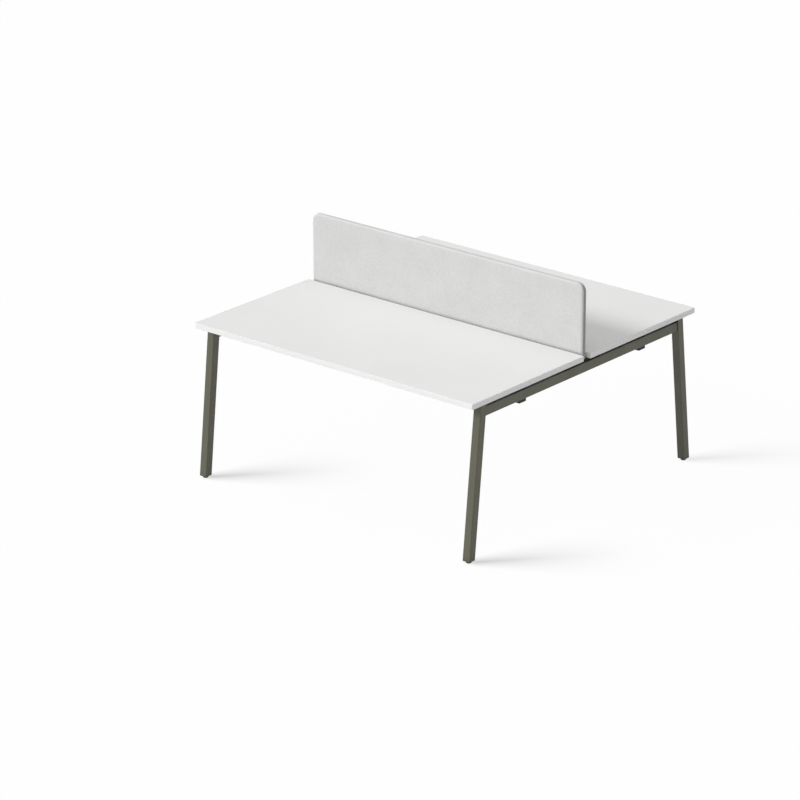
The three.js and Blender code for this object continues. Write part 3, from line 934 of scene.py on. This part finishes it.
def link_plate():
    """A flat plate drilled for the screen's bolt and for a screw into each worktop."""
    low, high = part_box("right_link_plate")
    piece = block("link_plate_model", low, high)
    open_up(piece)
    round_edges(piece, PLATE_CORNER, CORNER_STEPS, lambda middle, way: runs(way, UP))
    close_up()
    soft_arrises(piece, PLATE_ARRIS)
    holes = {
        "right_screen_bolt": SCREEN_BOLT,
        "front_right_plate_screw": PLATE_SCREW,
        "back_right_plate_screw": PLATE_SCREW,
    }
    for screw, kind in holes.items():
        radius = kind["shank"] + FIT_GAP
        hole = rod("hole", middle_of(screw), radius, low.z - DRILL_PAST, high.z + DRILL_PAST)
        combined(piece, hole, "DIFFERENCE")
    return smoothed(piece)


def leg_cap():
    """The flange between a leg and the worktop, and the stub that plugs the tube."""
    low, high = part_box("back_right_leg_cap")
    top_low, top_high = level_box("back_right_leg_cap", high.z)
    leg_low, leg_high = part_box("back_right_leg")
    foot_low, _ = level_box("back_right_leg", leg_low.z)
    leg_top_low, _ = level_box("back_right_leg", leg_high.z)
    lean = (foot_low.y - leg_top_low.y) / (leg_high.z - leg_low.z)
    piece = block("leg_cap_model", Vector((top_low.x, top_low.y, high.z - CAP_FLANGE)), top_high)
    open_up(piece)
    shift_points(piece, (0, lean * CAP_FLANGE, 0), lambda place, way: place.z < high.z - NEAR)
    round_edges(piece, LEG_CORNER, CORNER_STEPS, lambda middle, way: runs(way, UP))
    pick(piece, "FACE", lambda middle, way: faces(way, -UP))
    bpy.ops.mesh.inset(thickness=LEG_WALL + FIT_GAP)
    stub = high.z - CAP_FLANGE - low.z
    extrude((0, lean * stub, -stub))
    close_up()
    soft_arrises(piece, CAP_ARRIS)
    return smoothed(piece)


def rail_spacer():
    """A moulded block with a sunk panel on its two long sides."""
    low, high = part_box("back_right_rail_spacer")
    piece = block("rail_spacer_model", low, high)
    open_up(piece)
    round_edges(piece, SPACER_CORNER, CORNER_STEPS, lambda middle, way: runs(way, UP))
    pick(piece, "FACE", lambda middle, way: is_flat(way, ALONG))
    bpy.ops.mesh.inset(thickness=SPACER_BORDER)
    bpy.ops.mesh.inset(thickness=SPACER_ARRIS, depth=-SPACER_RECESS)
    close_up()
    soft_arrises(piece, SPACER_ARRIS)
    return smoothed(piece)


def fastener(node_name, kind):
    """A screw driven upwards: a rounded head with a key's socket, and a shank with a tapered tip."""
    low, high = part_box(node_name)
    place = middle_of(node_name)
    head_radius = (high.x - low.x) / 2
    seat = low.z + kind["head"]
    piece = rod(node_name + "_model", place, head_radius, low.z, seat)
    open_up(piece)
    round_edges(
        piece,
        HEAD_ARRIS,
        ARRIS_STEPS,
        lambda middle, way: middle.z < low.z + NEAR and not runs(way, UP),
    )
    pick(piece, "FACE", lambda middle, way: faces(way, UP))
    bpy.ops.mesh.inset(thickness=head_radius - kind["shank"])
    tip = kind["shank"] * TIP_LENGTH
    extrude((0, 0, high.z - tip - seat))
    extrude((0, 0, tip))
    taper(TIP_END, (place.x, place.y, high.z))
    close_up()
    socket_top = low.z + kind["head"] * SOCKET_DEPTH
    key = rod("key", place, kind["socket"], low.z - kind["head"], socket_top, kind["key_sides"])
    combined(piece, key, "DIFFERENCE")
    return smoothed(piece)


def screen_bolt():
    return fastener("right_screen_bolt", SCREEN_BOLT)


def bracket_bolt():
    return fastener("back_right_bracket_bolt", BRACKET_BOLT)


def beam_screw():
    return fastener("back_right_beam_screw", BEAM_SCREW)


def plate_screw():
    return fastener("back_right_plate_screw", PLATE_SCREW)


# Levelling feet

def foot_pad():
    """A round pad with a sloped shoulder and a socket for the stem."""
    low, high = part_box("back_right_foot_pad")
    place = middle_of("back_right_foot_pad")
    radius = (high.x - low.x) / 2
    piece = rod("foot_pad_model", place, radius, low.z, low.z + PAD_RIM, ROUND_SIDES)
    open_up(piece)
    round_edges(
        piece,
        PAD_ARRIS,
        ARRIS_STEPS,
        lambda middle, way: middle.z < low.z + NEAR and not runs(way, UP),
    )
    push_face(piece, (0, 0, high.z - low.z - PAD_RIM), lambda middle, way: faces(way, UP))
    taper(PAD_TOP_RADIUS / radius, (place.x, place.y, high.z))
    bpy.ops.mesh.inset(thickness=PAD_TOP_RADIUS - STEM_RADIUS - FIT_GAP)
    extrude((0, 0, low.z + PAD_SOCKET_FLOOR - high.z))
    close_up()
    soft_arrises(piece, PAD_SHOULDER_ARRIS)
    return smoothed(piece)


def foot_stem():
    """A threaded stem, ridge by ridge, with a hexagon collar above the pad."""
    low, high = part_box("back_right_foot_stem")
    _, pad_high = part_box("back_right_foot_pad")
    leg_low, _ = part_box("back_right_leg")
    place = middle_of("back_right_foot_stem")
    collar_low = pad_high.z + FIT_GAP
    collar_high = leg_low.z - FIT_GAP
    piece = rod("foot_stem_model", place, STEM_RADIUS, low.z, collar_high)
    open_up(piece)
    ridges = int((high.z - collar_high) / THREAD_PITCH)
    height = collar_high
    pick(piece, "FACE", lambda middle, way: faces(way, UP))
    for _ in range(ridges):
        for growth in (STEM_ROOT, 1 / STEM_ROOT):
            height += THREAD_PITCH / 2
            extrude((0, 0, THREAD_PITCH / 2))
            taper(growth, (place.x, place.y, height))
    close_up()
    collar = rod("collar_model", place, (high.x - low.x) / 2, collar_low, collar_high, COLLAR_SIDES)
    soft_arrises(collar, COLLAR_ARRIS)
    combined(piece, collar, "UNION")
    return smoothed(piece)


# Assembly

# Maker, node, piece and finish: what each long side of the desk has, and what each end has
SIDE_PIECES = [
    (worktop_board, "worktop", "worktop_board", "worktop_laminate"),
    (worktop_edging_strip, "worktop_edging", "worktop_strip", "worktop_edging"),
    (beam_tube, "beam", "beam_tube", "black_metal"),
]
END_PIECES = [
    (rail_tube, "end_rail", "rail_tube", "frame_paint"),
    (link_plate, "link_plate", "linking_plate", "black_metal"),
    (screen_bolt, "screen_bolt", "screen_fixing", "zinc_steel"),
]


def set_pairs(pieces, places):
    """Pieces modelled on the back or the right, and turned half round for the front or the left."""
    models = [maker() for maker, _, _, _ in pieces]
    for place, sign in places.items():
        for model, (_, node_name, piece_name, finish) in zip(models, pieces):
            piece = twin(model, f"{place}_{piece_name}", half_turn=sign < 0)
            fit(piece, f"{place}_{node_name}", finish)
    for model in models:
        bpy.data.objects.remove(model)


# Maker, node, piece, finish, body that moves with it, and the way that it faces
CORNER_PIECES = [
    (leg_tube, "leg", "leg_tube", "frame_paint", "", ACROSS),
    (leg_cap, "leg_cap", "leg_top_cap", "black_plastic", "", ACROSS),
    (foot_pad, "foot_pad", "levelling_pad", "black_plastic", "foot", ACROSS),
    (foot_stem, "foot_stem", "levelling_stem", "black_metal", "stem", ACROSS),
    (rail_spacer, "rail_spacer", "spacer_block", "black_plastic", "", ACROSS),
    (beam_bracket, "beam_bracket", "beam_hook", "black_metal", "", ALONG),
    (bracket_bolt, "bracket_bolt", "hook_fixing", "zinc_steel", "", ALONG),
    (beam_screw, "beam_screw", "beam_fixing", "zinc_steel", "", ACROSS),
    (plate_screw, "plate_screw", "plate_fixing", "zinc_steel", "", ACROSS),
]


def set_corners():
    """Each corner's pieces, modelled on the back right, and moved along or turned for the others."""
    for maker, node_name, piece_name, finish, body, facing in CORNER_PIECES:
        model = maker()
        place = middle_of("back_right_" + node_name)
        for side, end in CORNERS:
            corner = f"{side}_{end}"
            # A half turn alone leads to the front left, so the other two corners need a shift as well
            moved = SIDES[side] * ENDS[end] - 1
            if facing is ACROSS:
                turned = SIDES[side] < 0
                shift = (moved * place.x, 0, 0)
            else:
                turned = ENDS[end] < 0
                shift = (0, moved * place.y, 0)
            piece = twin(model, f"{corner}_{piece_name}", shift, turned)
            fit(piece, f"{corner}_{node_name}", finish, f"{corner}_{body}" if body else "frame")
        bpy.data.objects.remove(model)


def set_screen():
    panel = screen_panel()
    fit(panel, "screen_cover", "screen_fabric")


def dress_inner_nodes():
    """The pieces that stay as the CAD has them, inside the screen and the leg ends."""
    dress("screen_core", "screen_board")
    dress("screen_bottom_rail", "screen_aluminium")
    for side, end in CORNERS:
        dress(f"{side}_{end}_leg_plug", "black_plastic")
        dress(f"{side}_{end}_threaded_insert", "zinc_steel")


# Stage

def foot_shade_effect():
    """How clear the floor is of the soft shade that one foot throws away from the key light."""
    tree, given, result = effect("foot_shade", {"Foot X": 0, "Foot Y": 0, "Depth": 0.3}, ["Clear"])
    place = node(tree, "SeparateXYZ", {0: surface_place(tree)}).outputs
    x = maths(tree, "SUBTRACT", place["X"], given["Foot X"])
    y = maths(tree, "SUBTRACT", place["Y"], given["Foot Y"])
    way = KEY_TRAVEL.normalized()
    beyond = maths(tree, "ADD", maths(tree, "MULTIPLY", x, way.x), maths(tree, "MULTIPLY", y, way.y))
    aside = maths(tree, "SUBTRACT", maths(tree, "MULTIPLY", x, way.y), maths(tree, "MULTIPLY", y, way.x))
    width = maths(tree, "MULTIPLY_ADD", maths(tree, "MAXIMUM", beyond, 0), SHADE_SPREAD, SHADE_WIDTH)
    within = spread(tree, maths(tree, "DIVIDE", maths(tree, "ABSOLUTE", aside), width), (0, 1), (1, 0))
    soft = maths(tree, "POWER", within, SHADE_SIDE_FALL)
    begun = spread(tree, beyond, (-SHADE_WIDTH / 2, SHADE_WIDTH / 2), (0, given["Depth"]))
    fading = maths(tree, "POWER", spread(tree, beyond, (0, SHADE_LENGTH), (1, 0)), SHADE_END_FALL)
    shade = maths(tree, "MULTIPLY", soft, maths(tree, "MULTIPLY", begun, fading))
    tree.links.new(maths(tree, "SUBTRACT", 1.0, shade), result["Clear"])
    return tree


FOOT_SHADE = foot_shade_effect()


def white_for_eye(tree):
    """1 where a surface is seen straight, in a gloss or through glass, and 0 for the light that it gives."""
    path = node(tree, "LightPath").outputs
    seen = maths(tree, "ADD", path["Is Camera Ray"], path["Is Glossy Ray"])
    return maths(tree, "ADD", seen, path["Is Transmission Ray"], clamp=True)


def clear_of_shade(tree):
    """How clear the floor is of the shade of all the feet."""
    clear = 1.0
    for side, end in CORNERS:
        foot = middle_of(f"{side}_{end}_foot_pad")
        shade = use(tree, FOOT_SHADE, Foot_X=foot.x, Foot_Y=foot.y, Depth=SHADE_DEPTH[side])
        clear = maths(tree, "MULTIPLY", shade["Clear"], clear)
    return clear


def floor_white():
    """A white finish that keeps a part of the shadows, and can be seen through from below."""
    material = bpy.data.materials.new("floor_white")
    material.use_nodes = True
    tree = material.node_tree
    tree.nodes.remove(tree.nodes["Principled BSDF"])
    lit = node(tree, "BsdfDiffuse", {"Color": grey(FLOOR_TONE)}).outputs[0]
    plain = node(tree, "Emission", {"Color": clear_of_shade(tree), "Strength": 1}).outputs[0]
    share = maths(tree, "MULTIPLY", white_for_eye(tree), FLOOR_WHITENESS)
    seen = node(tree, "MixShader", {0: share, 1: lit, 2: plain}).outputs[0]
    through = node(tree, "BsdfTransparent").outputs[0]
    below = node(tree, "NewGeometry").outputs["Backfacing"]
    eye = node(tree, "LightPath").outputs["Is Camera Ray"]
    hidden = maths(tree, "MULTIPLY", below, eye)
    one_sided = node(tree, "MixShader", {0: hidden, 1: seen, 2: through}).outputs[0]
    tree.links.new(one_sided, tree.nodes["Material Output"].inputs["Surface"])
    return material


def set_floor():
    bpy.ops.object.select_all(action="DESELECT")
    bpy.ops.mesh.primitive_plane_add(size=FLOOR_REACH)
    floor = bpy.context.object
    floor.name = "floor"
    floor.data.materials.append(floor_white())


def set_surround():
    """The light from all round, seen as plain white."""
    world = bpy.data.worlds.new("pale_surround")
    bpy.context.scene.world = world
    world.use_nodes = True
    tree = world.node_tree
    direction = node(tree, "TexCoord").outputs["Generated"]
    place = node(tree, "SeparateXYZ", {0: direction}).outputs
    height = maths(tree, "MAXIMUM", place["Z"], 0)
    overhead = maths(tree, "MULTIPLY", maths(tree, "POWER", height, SURROUND_FALL), SURROUND_OVERHEAD)
    rightwards = maths(tree, "MULTIPLY", maths(tree, "MAXIMUM", place["X"], 0), SURROUND_RIGHT)
    glow = maths(tree, "ADD", maths(tree, "ADD", overhead, rightwards), SURROUND_ALL_ROUND)
    strength = spread(tree, white_for_eye(tree), (0, 1), (glow, 1))
    background = tree.nodes["Background"].inputs
    background["Color"].default_value = grey(1)
    tree.links.new(strength, background["Strength"])


def set_key_light():
    light = bpy.data.lights.new("key_light", "SUN")
    light.energy = KEY_STRENGTH
    light.angle = KEY_SPREAD
    key = bpy.data.objects.new("key_light", light)
    bpy.context.scene.collection.objects.link(key)
    travel = KEY_TRAVEL.normalized() * math.cos(KEY_ELEVATION) - UP * math.sin(KEY_ELEVATION)
    key.rotation_mode = "QUATERNION"
    key.rotation_quaternion = travel.to_track_quat("-Z", "Y")


def set_camera():
    lens = bpy.data.cameras.new("desk_camera")
    lens.lens = VIEW_LENS
    lens.sensor_width = VIEW_SENSOR
    lens.clip_end = VIEW_END
    camera = bpy.data.objects.new("desk_camera", lens)
    bpy.context.scene.collection.objects.link(camera)
    level = math.cos(VIEW_ELEVATION)
    right = math.sin(VIEW_AZIMUTH) * level
    forward = math.cos(VIEW_AZIMUTH) * level
    towards_eye = Vector((right, -forward, math.sin(VIEW_ELEVATION)))
    camera.location = VIEW_TARGET + towards_eye * VIEW_DISTANCE
    camera.rotation_mode = "QUATERNION"
    straight = (-towards_eye).to_track_quat("-Z", "Y")
    camera.rotation_quaternion = straight @ Quaternion((0, 0, 1), VIEW_ROLL)
    bpy.context.scene.camera = camera


# The view first, then the desk, then the stage

set_camera()
set_pairs(SIDE_PIECES, SIDES)
set_pairs(END_PIECES, ENDS)
set_corners()
set_screen()
dress_inner_nodes()
set_floor()
set_surround()
set_key_light()
bpy.context.scene.view_settings.view_transform = "Standard"
